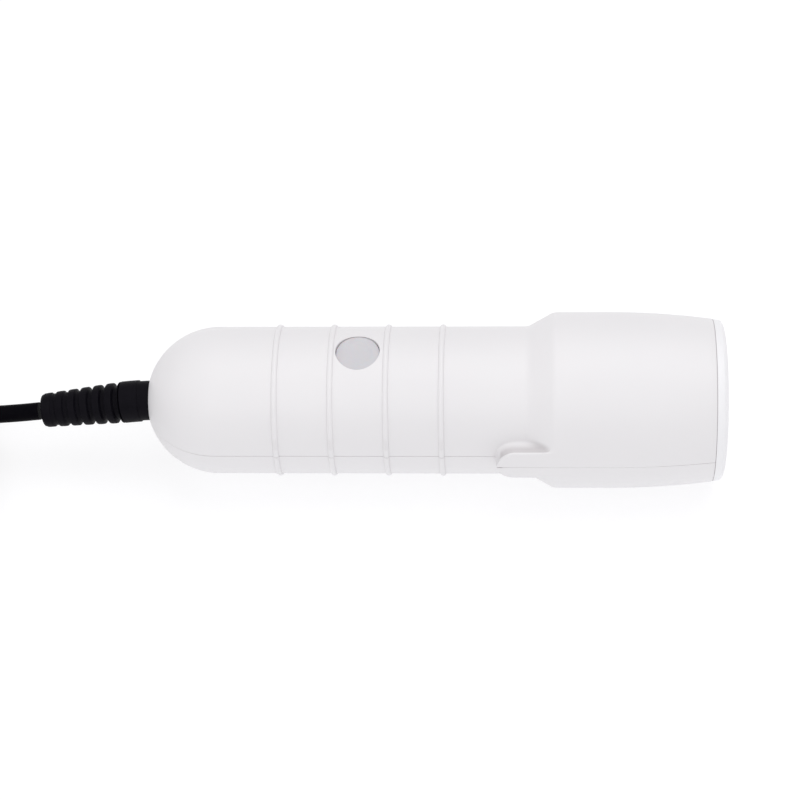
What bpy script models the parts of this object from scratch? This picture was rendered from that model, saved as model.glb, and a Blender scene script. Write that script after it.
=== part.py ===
"""Handheld microchip scanner: a grip in two shells, an antenna head, one scan button and a lead.

+X runs from the cable tail to the antenna head, and +Z goes up through the scan button.
The origin lies under the middle of the body, level with the lowest line of the head.
"""

import math

import bmesh
import bpy
from mathutils import Vector

MM = 0.001

# Body, with stations measured along its axis from the pole of the round tail
LENGTH = 161.5 * MM
GRIP_RADIUS = 20.5 * MM
HEAD_RADIUS = 24.4 * MM
WALL = 2.2 * MM
FLARE_START = 107.4 * MM
FLARE_END = 114.3 * MM
BARREL_START = 130.0 * MM
BARREL_ARC = 215.0 * MM
CAP_SEAM = 158.35 * MM
CABLE_HOLE_RADIUS = 6.2 * MM
SEAM_GAP = 0.3 * MM
GAP = 0.3 * MM

# Grip ribs and side bars
RIB_FIRST = 38.3 * MM
RIB_PITCH = 15.15 * MM
RIB_COUNT = 4
RIB_HEIGHT = 0.6 * MM
RIB_HALF_WIDTH = 0.9 * MM
BAR_HALF_WIDTH = 5.25 * MM
BAR_ROUND_CENTRE = 103.95 * MM

# Scan button, heights measured from the body's axis
BUTTON_STATION = 60.8 * MM
BUTTON_RADIUS = 6.0 * MM
BUTTON_HOLE_RADIUS = 6.2 * MM
BUTTON_TOP = 19.55 * MM
FLANGE_RADIUS = 6.9 * MM
FLANGE_TOP = 16.1 * MM
FLANGE_UNDERSIDE = 15.2 * MM

# Circuit board, its parts and the screws
BOARD_START = 24.0 * MM
BOARD_END = 118.0 * MM
BOARD_HALF_WIDTH = 12.0 * MM
BOARD_TOP = 8.0 * MM
BOARD_THICKNESS = 1.6 * MM
BOARD_SCREWS = [(station * MM, side * 8.5 * MM) for station in (30.0, 108.0) for side in (-1, 1)]
CASE_SCREW_STATIONS = (46.0 * MM, 95.0 * MM, 130.0 * MM)
CASE_SCREW_SEAT = -12.0 * MM
CLAMP_STATION = 16.0 * MM
CLAMP_SCREW_OFFSET = 6.0 * MM

# Lead, coiled for storage just past its tail end, and its plug
CORD_RADIUS = 2.5 * MM
COIL_CENTRE = (-165.5 * MM, -12.6 * MM)
COIL_MEAN_RADIUS = 27.1 * MM
COIL_WIDTH = 20.4 * MM
COIL_HEIGHT = 10.3 * MM
TIE_ANGLE = math.radians(-50)
TIE_WIDTH = 6.0 * MM
TIE_THICKNESS = 0.8 * MM
PLUG_PLACE = Vector((-162.9, 6.9, 14.5)) * MM
PLUG_TURN = math.radians(-15)

TURN_STEPS = 42
AXIS_Z = HEAD_RADIUS
HOLE_START = GRIP_RADIUS - math.sqrt(GRIP_RADIUS ** 2 - CABLE_HOLE_RADIUS ** 2)
MIDDLE = (LENGTH + HOLE_START) / 2
ALONG_BODY = (0, math.pi / 2, 0)


def new_collection(name):
    group = bpy.data.collections.new(name)
    bpy.context.scene.collection.children.link(group)
    return group


for leftover in list(bpy.data.objects):
    bpy.data.objects.remove(leftover, do_unlink=True)
PARTS = new_collection("microchip_scanner")
CUTTERS = new_collection("cutters")


def finish(name, colour, roughness, metallic=0.0):
    made = bpy.data.materials.new(name)
    made.use_nodes = True
    shader = made.node_tree.nodes["Principled BSDF"]
    shader.inputs["Base Color"].default_value = (*colour, 1.0)
    shader.inputs["Roughness"].default_value = roughness
    shader.inputs["Metallic"].default_value = metallic
    return made


WHITE_ABS = finish("white_abs", (0.80, 0.79, 0.80), 0.45)
CAP_ABS = finish("cap_abs", (0.88, 0.88, 0.90), 0.40)
BUTTON_SILICONE = finish("button_silicone", (0.64, 0.63, 0.66), 0.50)
BLACK_RUBBER = finish("black_rubber", (0.012, 0.011, 0.014), 0.55)
SEAL_RUBBER = finish("seal_rubber", (0.03, 0.03, 0.03), 0.60)
BOARD_GREEN = finish("board_green", (0.02, 0.16, 0.07), 0.45)
CHIP_BLACK = finish("chip_black", (0.02, 0.02, 0.022), 0.50)
CONNECTOR_NYLON = finish("connector_nylon", (0.80, 0.78, 0.72), 0.50)
TINNED_METAL = finish("tinned_metal", (0.72, 0.72, 0.72), 0.30, 1.0)
SCREW_STEEL = finish("screw_steel", (0.55, 0.55, 0.56), 0.35, 1.0)
COPPER = finish("enamelled_copper", (0.62, 0.25, 0.12), 0.35, 1.0)
CONTACT_GOLD = finish("contact_gold", (0.85, 0.62, 0.25), 0.28, 1.0)
LED_GREEN = finish("led_green", (0.25, 0.75, 0.30), 0.20)
LED_RED = finish("led_red", (0.80, 0.12, 0.10), 0.20)
WIRE_COLOURS = {
    "red": (0.60, 0.03, 0.03),
    "white": (0.80, 0.80, 0.78),
    "green": (0.03, 0.30, 0.08),
    "black": (0.02, 0.02, 0.02),
}


def x_at(station):
    """The body's axis starts at the pole of the tail, the frame in the middle of the body."""
    return station - MIDDLE


def on_axis(station, y=0.0, height=0.0):
    return Vector((x_at(station), y, AXIS_Z + height))


def place(name, data, look, location=(0, 0, 0), rotation=(0, 0, 0)):
    """A piece takes its material here; with none it is a cutter or a guide."""
    made = bpy.data.objects.new(name, data)
    made.location = location
    made.rotation_euler = rotation
    if look is None:
        CUTTERS.objects.link(made)
        made.hide_render = True
        made.display_type = "WIRE"
    else:
        PARTS.objects.link(made)
        data.materials.append(look)
    return made


def block(name, look, low, high, rounding=0.0, rotation=(0, 0, 0), about=None):
    """A box between two corners, turned about its own middle or about another point."""
    low, high = Vector(low), Vector(high)
    centre = (low + high) / 2 if about is None else Vector(about)
    mesh = bpy.data.meshes.new(name)
    shape = bmesh.new()
    bmesh.ops.create_cube(shape, size=1.0)
    bmesh.ops.scale(shape, vec=high - low, verts=shape.verts)
    bmesh.ops.translate(shape, vec=(low + high) / 2 - centre, verts=shape.verts)
    shape.to_mesh(mesh)
    shape.free()
    made = place(name, mesh, look, centre, rotation)
    if rounding:
        bevel = made.modifiers.new("rounded edges", "BEVEL")
        bevel.width = rounding
        bevel.segments = 2
    return made


def rod(name, look, radius, start, end, sides=24):
    start, end = Vector(start), Vector(end)
    mesh = bpy.data.meshes.new(name)
    shape = bmesh.new()
    bmesh.ops.create_cone(shape, cap_ends=True, segments=sides, radius1=radius, radius2=radius,
                          depth=(end - start).length)
    shape.to_mesh(mesh)
    shape.free()
    mesh.shade_smooth()
    mesh.set_sharp_from_angle(angle=math.radians(40))
    facing = (end - start).to_track_quat("Z", "Y").to_euler()
    return place(name, mesh, look, (start + end) / 2, facing)


def turned(name, look, outline, location, rotation, steps=TURN_STEPS):
    """Turn an outline of (height, radius) points that runs down its outer side.

    An outline that starts on the axis is open, and any other is a closed ring section.
    """
    mesh = bpy.data.meshes.new(name)
    count = len(outline)
    edges = [(i, i + 1) for i in range(count - 1)]
    if outline[0][1] > 0:
        edges.append((count - 1, 0))
    mesh.from_pydata([(radius, 0, height) for height, radius in outline], edges, [])
    made = place(name, mesh, look, location, rotation)
    screw = made.modifiers.new("turned", "SCREW")
    screw.axis = "Z"
    screw.steps = steps
    screw.render_steps = steps
    screw.use_merge_vertices = True
    screw.merge_threshold = 0.00001
    screw.use_smooth_shade = False
    return made


def turned_on_body(name, look, outline, steps=TURN_STEPS):
    """Turn an outline of (station, radius) points about the body's axis."""
    shifted = [(x_at(station), radius) for station, radius in outline]
    return turned(name, look, shifted, (0, 0, AXIS_Z), ALONG_BODY, steps)


def ring_outline(start, end, inner, outer):
    return [(end, outer), (start, outer), (start, inner), (end, inner)]


def combine(piece, other, operation):
    step = piece.modifiers.new(other.name, "BOOLEAN")
    step.operation = operation
    step.solver = "EXACT"
    step.object = other


def cut(piece, *cutters):
    for cutter in cutters:
        combine(piece, cutter, "DIFFERENCE")


def join(piece, *others):
    for other in others:
        combine(piece, other, "UNION")


def arc(centre, radius, start, end, pieces):
    """Points (station, radius) on an arc whose angle is 0 towards the head and 90 outwards."""
    turns = [math.radians(start + (end - start) * i / pieces) for i in range(pieces + 1)]
    return [(centre[0] + radius * math.cos(a), centre[1] + radius * math.sin(a)) for a in turns]


def smooth_route(points, pieces):
    """A smooth curve through the route's own points, with so many pieces between two of them."""
    points = [Vector(point) for point in points]
    padded = [2 * points[0] - points[1], *points, 2 * points[-1] - points[-2]]
    route = []
    for before, start, end, after in zip(padded, padded[1:], padded[2:], padded[3:]):
        for i in range(pieces):
            t = i / pieces
            route.append(0.5 * (2 * start + (end - before) * t
                                + (2 * before - 5 * start + 4 * end - after) * t ** 2
                                + (3 * start - before - 3 * end + after) * t ** 3))
    return route + [points[-1]]


def tube(name, look, route, radius, resolution=2, widths=None):
    """A round bar along a route; widths scale its radius point by point."""
    data = bpy.data.curves.new(name, "CURVE")
    data.dimensions = "3D"
    data.bevel_depth = radius
    data.bevel_resolution = resolution
    data.use_fill_caps = True
    line = data.splines.new("POLY")
    line.points.add(len(route) - 1)
    for i, point in enumerate(route):
        line.points[i].co = (*point, 1.0)
        line.points[i].radius = widths[i] if widths else 1.0
    return place(name, data, look)


# ---- the two shells ---------------------------------------------------------------------------

def barrel_radius(station):
    """The head is a cylinder that draws in towards the cap along one long arc."""
    beyond = max(0.0, station - BARREL_START)
    return HEAD_RADIUS - (BARREL_ARC - math.sqrt(BARREL_ARC ** 2 - beyond ** 2))


def rib_outline(station):
    """A low rounded rib, head side first."""
    crest = GRIP_RADIUS + RIB_HEIGHT
    shoulder = GRIP_RADIUS + RIB_HEIGHT * 0.7
    return [
        (station + RIB_HALF_WIDTH, GRIP_RADIUS),
        (station + RIB_HALF_WIDTH * 0.6, shoulder),
        (station, crest),
        (station - RIB_HALF_WIDTH * 0.6, shoulder),
        (station - RIB_HALF_WIDTH, GRIP_RADIUS),
    ]


def wall_outline():
    """Section of the wall: the outside from the cap to the cable hole, then the inside back."""
    front = CAP_SEAM - SEAM_GAP / 2
    blend = 0.6 * MM
    slope = (HEAD_RADIUS - GRIP_RADIUS) / (FLARE_END - FLARE_START)
    barrel = [front - (front - BARREL_START) * i / 5 for i in range(6)]
    outside = [(station, barrel_radius(station)) for station in barrel]
    outside += [
        (FLARE_END + blend, HEAD_RADIUS),
        (FLARE_END - blend, HEAD_RADIUS - blend * slope),
        (FLARE_START + blend, GRIP_RADIUS + blend * slope),
        (FLARE_START - blend, GRIP_RADIUS),
    ]
    for i in reversed(range(RIB_COUNT)):
        outside += rib_outline(RIB_FIRST + RIB_PITCH * i)
    hole_angle = math.degrees(math.asin(CABLE_HOLE_RADIUS / GRIP_RADIUS))
    outside += arc((GRIP_RADIUS, 0.0), GRIP_RADIUS, 90, 180 - hole_angle, 8)

    inner_radius = GRIP_RADIUS - WALL
    inner_hole_angle = math.degrees(math.asin(CABLE_HOLE_RADIUS / inner_radius))
    inside = arc((GRIP_RADIUS, 0.0), inner_radius, 180 - inner_hole_angle, 90, 6)
    inside += [
        (FLARE_START + blend, inner_radius),
        (FLARE_END + blend, HEAD_RADIUS - WALL),
        (BARREL_START, HEAD_RADIUS - WALL),
        (BARREL_START + 15 * MM, barrel_radius(BARREL_START + 15 * MM) - WALL),
        (front, barrel_radius(front) - WALL),
    ]
    return outside + inside


def side_bars():
    """One raised bar on each side, flush with the head and round at its tail end."""
    bars = turned_on_body("side_bars", None, ring_outline(
        BAR_ROUND_CENTRE - BAR_HALF_WIDTH - 1 * MM, FLARE_END + 0.3 * MM,
        GRIP_RADIUS - 0.9 * MM, HEAD_RADIUS - 0.05 * MM))
    reach = HEAD_RADIUS + 2 * MM
    plate = block("side_bar_plate", None,
                  on_axis(BAR_ROUND_CENTRE, -reach, -BAR_HALF_WIDTH),
                  on_axis(FLARE_END + 5 * MM, reach, BAR_HALF_WIDTH))
    end = rod("side_bar_end", None, BAR_HALF_WIDTH,
              on_axis(BAR_ROUND_CENTRE, -reach), on_axis(BAR_ROUND_CENTRE, reach), sides=28)
    join(plate, end)
    combine(bars, plate, "INTERSECT")
    return bars


def shell(name, bars):
    made = turned_on_body(name, WHITE_ABS, wall_outline())
    join(made, bars)
    return made


def seam_block(name, side):
    """Everything on one side of the parting plane, and half of the seam's gap."""
    reach = 30 * MM
    near, far = sorted((-side * SEAM_GAP / 2, side * reach))
    return block(name, None, on_axis(-5 * MM, -reach, near), on_axis(LENGTH + 5 * MM, reach, far))


def add_case_bosses(top, bottom):
    """The case screws rise from counterbores under the grip into blind bosses in the top shell."""
    for number, station in enumerate(CASE_SCREW_STATIONS, 1):
        skin = (HEAD_RADIUS if station > FLARE_END else GRIP_RADIUS) - 1.1 * MM
        join(top, rod(f"top_boss_{number}", None, 3.2 * MM,
                      on_axis(station, 0, -1 * MM), on_axis(station, 0, skin)))
        join(bottom, rod(f"bottom_boss_{number}", None, 4.2 * MM,
                         on_axis(station, 0, -skin), on_axis(station, 0, 1 * MM)))
        cut(top, rod(f"top_bore_{number}", None, 1.55 * MM,
                     on_axis(station, 0, -2 * MM), on_axis(station, 0, 12 * MM)))
        cut(bottom,
            rod(f"bottom_bore_{number}", None, 1.55 * MM,
                on_axis(station, 0, -30 * MM), on_axis(station, 0, 2 * MM)),
            rod(f"counterbore_{number}", None, 2.7 * MM,
                on_axis(station, 0, -30 * MM), on_axis(station, 0, CASE_SCREW_SEAT)))


def add_board_bosses(top):
    for number, (station, side) in enumerate(BOARD_SCREWS, 1):
        join(top, rod(f"board_boss_{number}", None, 2.2 * MM,
                      on_axis(station, side, BOARD_TOP + GAP), on_axis(station, side, 17.35 * MM)))
        cut(top, rod(f"board_bore_{number}", None, 1.4 * MM,
                     on_axis(station, side, 0), on_axis(station, side, 13.5 * MM)))


def add_clamp_bosses(bottom):
    for number, side in enumerate((-CLAMP_SCREW_OFFSET, CLAMP_SCREW_OFFSET), 1):
        join(bottom, rod(f"clamp_boss_{number}", None, 1.9 * MM,
                         on_axis(CLAMP_STATION, side, -17.7 * MM),
                         on_axis(CLAMP_STATION, side, -GAP)))
        cut(bottom, rod(f"clamp_bore_{number}", None, 1.25 * MM,
                        on_axis(CLAMP_STATION, side, -10 * MM),
                        on_axis(CLAMP_STATION, side, 1 * MM)))


def shells():
    bars = side_bars()
    top = shell("top_shell", bars)
    bottom = shell("bottom_shell", bars)
    add_case_bosses(top, bottom)
    add_board_bosses(top)
    add_clamp_bosses(bottom)
    cut(top, rod("button_hole", None, BUTTON_HOLE_RADIUS,
                 on_axis(BUTTON_STATION, 0, 12 * MM), on_axis(BUTTON_STATION, 0, 25 * MM), 36))
    cut(top, seam_block("below_the_seam", -1))
    cut(bottom, seam_block("above_the_seam", 1))


# ---- antenna head -----------------------------------------------------------------------------

def antenna_cap():
    """A cup with a flat front, a rounded rim and a spigot that plugs into the shells."""
    back = CAP_SEAM + SEAM_GAP / 2
    rim = barrel_radius(CAP_SEAM) - 0.05 * MM
    flat = 19.6 * MM
    outline = [(LENGTH, 0.0), (LENGTH, flat), (LENGTH - 0.35 * MM, 20.9 * MM),
               (LENGTH - 1.1 * MM, 21.8 * MM), (back + 0.4 * MM, rim), (back, rim - 0.2 * MM),
               (back, 19.0 * MM), (151.5 * MM, 19.0 * MM), (151.5 * MM, 17.0 * MM),
               (159.4 * MM, 17.0 * MM), (159.4 * MM, 0.0)]
    turned_on_body("antenna_cap", CAP_ABS, outline)


def antenna():
    """Read coil on its bobbin behind the cap, and the two leads back to the board."""
    turned_on_body("cap_seal", SEAL_RUBBER,
                   ring_outline(156.8 * MM, 158.0 * MM, 19.3 * MM, 20.0 * MM), 32)
    bobbin = [(159.1, 16.6), (158.1, 16.6), (158.1, 13.0), (150.2, 13.0), (150.2, 16.6),
              (149.2, 16.6), (149.2, 11.5), (159.1, 11.5)]
    turned_on_body("antenna_bobbin", CONNECTOR_NYLON,
                   [(station * MM, radius * MM) for station, radius in bobbin], 32)
    turned_on_body("antenna_winding", COPPER,
                   ring_outline(150.5 * MM, 157.8 * MM, 13.3 * MM, 16.3 * MM), 32)
    for name, side in (("antenna_lead_left", 1), ("antenna_lead_right", -1)):
        route = [(117.4, 1.5, 10.3), (121.0, 3.0, 10.3), (127.0, 5.2, 10.7),
                 (134.0, 5.6, 11.6), (142.0, 5.2, 13.0), (148.9, 5.0, 13.5)]
        points = [on_axis(s * MM, side * y * MM, height * MM) for s, y, height in route]
        tube(name, COPPER, smooth_route(points, 3), 0.4 * MM)


# ---- scan button and its switch ---------------------------------------------------------------

def scan_button():
    """A flat button with a shallow dish, a flange that holds it in, and a stem to the switch."""
    dish = BUTTON_TOP - 0.13 * MM
    stem_radius = 1.6 * MM
    stem_end = 12.9 * MM
    outline = [(dish, 0.0), (dish, 3.4 * MM), (BUTTON_TOP, 3.9 * MM),
               (BUTTON_TOP, BUTTON_RADIUS - 0.4 * MM), (BUTTON_TOP - 0.25 * MM, BUTTON_RADIUS),
               (FLANGE_TOP, BUTTON_RADIUS), (FLANGE_TOP, FLANGE_RADIUS),
               (FLANGE_UNDERSIDE, FLANGE_RADIUS), (FLANGE_UNDERSIDE, stem_radius),
               (stem_end, stem_radius), (stem_end, 0.0)]
    turned("scan_button", BUTTON_SILICONE, outline, on_axis(BUTTON_STATION), (0, 0, 0), 36)


def button_switch():
    half = 3.1 * MM
    body = block("switch_body", CHIP_BLACK,
                 on_axis(BUTTON_STATION - half, -half, BOARD_TOP + GAP),
                 on_axis(BUTTON_STATION + half, half, 11.6 * MM))
    cut(body, rod("switch_bore", None, 2.05 * MM,
                  on_axis(BUTTON_STATION, 0, 9.4 * MM), on_axis(BUTTON_STATION, 0, 13 * MM), 20))
    rod("switch_plunger", CONNECTOR_NYLON, 1.75 * MM,
        on_axis(BUTTON_STATION, 0, 10.9 * MM), on_axis(BUTTON_STATION, 0, 12.6 * MM), 20)


# ---- circuit board and what it carries --------------------------------------------------------

def main_board():
    board = block("main_board", BOARD_GREEN,
                  on_axis(BOARD_START, -BOARD_HALF_WIDTH, BOARD_TOP - BOARD_THICKNESS),
                  on_axis(BOARD_END, BOARD_HALF_WIDTH, BOARD_TOP))
    for number, station in enumerate(CASE_SCREW_STATIONS[:2], 1):
        cut(board, rod(f"boss_hole_{number}", None, 3.6 * MM,
                       on_axis(station), on_axis(station, 0, 12 * MM)))
    for number, (station, side) in enumerate(BOARD_SCREWS, 1):
        cut(board, rod(f"screw_hole_{number}", None, 1.4 * MM,
                       on_axis(station, side), on_axis(station, side, 12 * MM), 16))


def board_component(name, look, station, side, length, width, height, rounding=0.0):
    """A component's body on the board's top face."""
    seat = BOARD_TOP + GAP
    return block(name, look,
                 on_axis((station - length / 2) * MM, (side - width / 2) * MM, seat),
                 on_axis((station + length / 2) * MM, (side + width / 2) * MM, seat + height * MM),
                 rounding)


def board_components():
    board_component("microcontroller", CHIP_BLACK, 78.0, 0.0, 10.0, 10.0, 1.4)
    board_component("reader_chip", CHIP_BLACK, 104.0, 0.0, 6.0, 10.0, 1.6)
    board_component("clock_crystal", TINNED_METAL, 78.0, -9.0, 11.0, 4.6, 3.5, 0.8 * MM)
    board_component("voltage_regulator", CHIP_BLACK, 53.0, 8.0, 6.5, 3.5, 1.6)
    board_component("green_led", LED_GREEN, 60.8, 5.4, 3.2, 1.6, 1.2)
    board_component("red_led", LED_RED, 60.8, -5.4, 3.2, 1.6, 1.2)
    board_component("antenna_terminal", CONNECTOR_NYLON, 114.5, 0.0, 5.2, 7.0, 4.0)
    seat = BOARD_TOP + GAP
    rod("buzzer", CHIP_BLACK, 4.5 * MM, on_axis(36 * MM, 0, seat),
        on_axis(36 * MM, 0, seat + 4 * MM))
    rod("storage_capacitor", TINNED_METAL, 3.0 * MM, on_axis(87 * MM, 8 * MM, seat),
        on_axis(87 * MM, 8 * MM, seat + 5.2 * MM))
    underside = BOARD_TOP - BOARD_THICKNESS - GAP
    block("cable_connector", CONNECTOR_NYLON, on_axis(34 * MM, -5 * MM, underside - 4.5 * MM),
          on_axis(40 * MM, 5 * MM, underside))


# ---- screws -----------------------------------------------------------------------------------

def pan_screw(name, seat, head_radius, head_height, radius, length, head_up=True):
    """A pan-head screw whose head bears on its seat."""
    outline = [(head_height, 0.0), (head_height, head_radius * 0.6),
               (head_height * 0.7, head_radius), (0.0, head_radius), (0.0, radius),
               (-length, radius), (-length, 0.0)]
    rotation = (0, 0, 0) if head_up else (math.pi, 0, 0)
    turned(name, SCREW_STEEL, outline, seat, rotation, 20)


def screws():
    for number, station in enumerate(CASE_SCREW_STATIONS, 1):
        pan_screw(f"case_screw_{number}", on_axis(station, 0, CASE_SCREW_SEAT - GAP),
                  2.3 * MM, 1.8 * MM, 1.25 * MM, 21 * MM, head_up=False)
    underside = BOARD_TOP - BOARD_THICKNESS - GAP
    for number, (station, side) in enumerate(BOARD_SCREWS, 1):
        pan_screw(f"board_screw_{number}", on_axis(station, side, underside),
                  2.0 * MM, 1.3 * MM, 1.1 * MM, 6.5 * MM, head_up=False)
    for number, side in enumerate((-CLAMP_SCREW_OFFSET, CLAMP_SCREW_OFFSET), 1):
        pan_screw(f"clamp_screw_{number}", on_axis(CLAMP_STATION, side, 4.4 * MM + GAP),
                  1.9 * MM, 1.3 * MM, 0.95 * MM, 12 * MM)


# ---- cable inside the tail --------------------------------------------------------------------

def cable_clamp():
    """A saddle that presses the cable's jacket down between two screws."""
    clamp = block("cable_clamp", WHITE_ABS, on_axis(13.6 * MM, -8.2 * MM, 0.0),
                  on_axis(18.4 * MM, 8.2 * MM, 4.4 * MM))
    cut(clamp, rod("clamp_groove", None, CORD_RADIUS + GAP, on_axis(10 * MM), on_axis(22 * MM)))
    for number, side in enumerate((-CLAMP_SCREW_OFFSET, CLAMP_SCREW_OFFSET), 1):
        cut(clamp, rod(f"clamp_hole_{number}", None, 1.3 * MM,
                       on_axis(CLAMP_STATION, side, -2 * MM),
                       on_axis(CLAMP_STATION, side, 7 * MM), 16))


def inner_wiring():
    """The jacket ends past the clamp, and its four wires fan out to the connector."""
    rod("cable_jacket", BLACK_RUBBER, CORD_RADIUS, on_axis(6.7 * MM), on_axis(21 * MM), 20)
    for number, (colour, value) in enumerate(WIRE_COLOURS.items()):
        start = (number - 1.5) * 1.1
        end = (number - 1.5) * 2.0
        route = [(21.3, start, 0.0), (24.0, start * 1.2, 0.3), (27.5, (start + end) / 2, 1.7),
                 (31.0, end, 3.4), (33.7, end, 3.8)]
        points = [on_axis(s * MM, y * MM, height * MM) for s, y, height in route]
        tube(f"wire_{colour}", finish(f"wire_{colour}", value, 0.45),
             smooth_route(points, 3), 0.42 * MM)


# ---- lead -------------------------------------------------------------------------------------

def relief_steps():
    """Radii of the strain relief along its own length, from the flange inside the shell."""
    collar_end = 6.2 * MM
    pitch = 3.8 * MM
    groove = 1.4 * MM
    steps = [(-6.4 * MM, 8.0 * MM), (-4.45 * MM, 8.0 * MM), (-4.35 * MM, 5.85 * MM),
             (collar_end, 5.85 * MM)]
    for i in range(6):
        start = collar_end + pitch * i
        ridge = (5.65 - 0.18 * i) * MM
        steps += [(start + 0.1 * MM, 4.5 * MM), (start + groove, 4.5 * MM),
                  (start + groove + 0.3 * MM, ridge), (start + pitch - 0.3 * MM, ridge)]
    return steps + [(collar_end + pitch * 6, 4.6 * MM), (30.0 * MM, 4.4 * MM)]


def relief_drop(beyond):
    """The relief leaves level and sags in the cable hole, then runs straight at its slope."""
    slope = 0.155
    bend = 6.0 * MM
    if beyond < bend:
        return slope * (max(beyond, -bend) + bend) ** 2 / (4 * bend)
    return slope * beyond


def strain_relief():
    steps = relief_steps()
    route = [on_axis(-beyond, 0, -relief_drop(beyond)) for beyond, _ in steps]
    widest = 8.0 * MM
    tube("strain_relief", BLACK_RUBBER, route, widest, 5, [radius / widest for _, radius in steps])


LEAD_ROUTE = [(-111.6, 0.0, 19.7), (-116.5, 0.0, 19.0), (-122.7, 0.1, 18.2), (-126.9, 0.7, 17.4),
              (-131.1, 2.8, 16.0), (-135.3, 6.0, 14.7), (-139.4, 9.7, 13.4)]
TAIL_ROUTE = [(-147.8, -4.3, 13.5), (-150.6, -0.1, 14.3), (-154.3, 3.4, 14.5),
              (-158.8, 5.8, 14.5), (-162.5, 6.8, 14.5)]


def lead():
    """The free lead: its two straight stretches, and the coil between them."""
    for name, route in (("cord", LEAD_ROUTE), ("cord_tail", TAIL_ROUTE)):
        points = [Vector(point) * MM for point in route]
        tube(name, BLACK_RUBBER, smooth_route(points, 2), CORD_RADIUS, 4)
    soft = 1.5 * MM
    inner = COIL_MEAN_RADIUS - COIL_WIDTH / 2
    outer = COIL_MEAN_RADIUS + COIL_WIDTH / 2
    section = [(COIL_HEIGHT, outer - soft), (COIL_HEIGHT - soft, outer), (soft, outer),
               (0.0, outer - soft), (0.0, inner + soft), (soft, inner),
               (COIL_HEIGHT - soft, inner), (COIL_HEIGHT, inner + soft)]
    coil = turned("cord_coil", BLACK_RUBBER, section, (*COIL_CENTRE, 0.0), (0, 0, 0), 48)
    recess = TIE_THICKNESS + GAP
    x, y = COIL_CENTRE
    cut(coil, block("tie_recess", None,
                    (x + inner - 2 * MM, y - TIE_WIDTH / 2 - GAP, -2 * MM),
                    (x + outer + 2 * MM, y + TIE_WIDTH / 2 + GAP, recess),
                    rotation=(0, 0, TIE_ANGLE), about=(x, y, 0)))


def cord_tie():
    """A strap round all the turns of the coil."""
    x, y = COIL_CENTRE
    inner = COIL_MEAN_RADIUS - COIL_WIDTH / 2 - 2 * GAP
    outer = COIL_MEAN_RADIUS + COIL_WIDTH / 2 + GAP
    top = COIL_HEIGHT + GAP
    skin = TIE_THICKNESS
    turn = {"rotation": (0, 0, TIE_ANGLE), "about": (x, y, 0)}
    tie = block("cord_tie", SEAL_RUBBER, (x + inner - skin, y - TIE_WIDTH / 2, 0.0),
                (x + outer + skin, y + TIE_WIDTH / 2, top + skin), **turn)
    cut(tie, block("tie_opening", None, (x + inner, y - TIE_WIDTH, skin),
                   (x + outer, y + TIE_WIDTH, top), **turn))


def usb_plug():
    """A moulded grip with its own short relief, a folded metal shell, an insert and contacts.

    It lies on the coil.  Its pieces are laid out along -X from where the lead enters, and turned.
    """
    rear, y, z = PLUG_PLACE
    sleeve_end = rear - 8.5 * MM
    grip_end = rear - 28 * MM
    turn = {"rotation": (0, 0, PLUG_TURN), "about": PLUG_PLACE}
    grip = block("plug_body", BLACK_RUBBER, (grip_end, y - 7.7 * MM, z - 3.9 * MM),
                 (sleeve_end + 0.5 * MM, y + 7.7 * MM, z + 3.9 * MM), 1.2 * MM, **turn)
    heading = Vector((-math.cos(PLUG_TURN), -math.sin(PLUG_TURN), 0))
    join(grip, rod("plug_sleeve", None, 3.4 * MM, PLUG_PLACE, PLUG_PLACE + heading * 10.5 * MM, 20))

    shell_rear = grip_end - GAP
    mouth = shell_rear - 11.8 * MM
    metal = block("plug_shell", TINNED_METAL, (mouth, y - 6.0 * MM, z - 2.25 * MM),
                  (shell_rear, y + 6.0 * MM, z + 2.25 * MM), **turn)
    cut(metal, block("plug_shell_inside", None, (mouth - 1 * MM, y - 5.65 * MM, z - 1.9 * MM),
                     (shell_rear + 1 * MM, y + 5.65 * MM, z + 1.9 * MM), **turn))
    block("plug_insert", CONNECTOR_NYLON, (mouth + 0.5 * MM, y - 5.3 * MM, z - 1.6 * MM),
          (shell_rear - 0.2 * MM, y + 5.3 * MM, z + 0.1 * MM), **turn)
    for number, offset in enumerate((-3.5, -1.0, 1.0, 3.5), 1):
        middle = y + offset * MM
        block(f"plug_contact_{number}", CONTACT_GOLD,
              (mouth + 1.5 * MM, middle - 0.5 * MM, z + 0.4 * MM),
              (shell_rear - 1.5 * MM, middle + 0.5 * MM, z + 0.7 * MM), **turn)



shells()
antenna_cap()
antenna()
scan_button()
button_switch()
main_board()
board_components()
screws()
cable_clamp()
inner_wiring()
strain_relief()
lead()
cord_tie()
usb_plug()
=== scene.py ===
"""A handheld microchip scanner: white two-part grip, antenna head, grey scan button, black lead.

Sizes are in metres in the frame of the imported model: +X runs along the body from the cable tail
to the antenna head, +Z goes up through the scan button, and the floor is at zero height.
"""

import math

import bmesh
import bpy
from mathutils import Matrix, Vector


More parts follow.
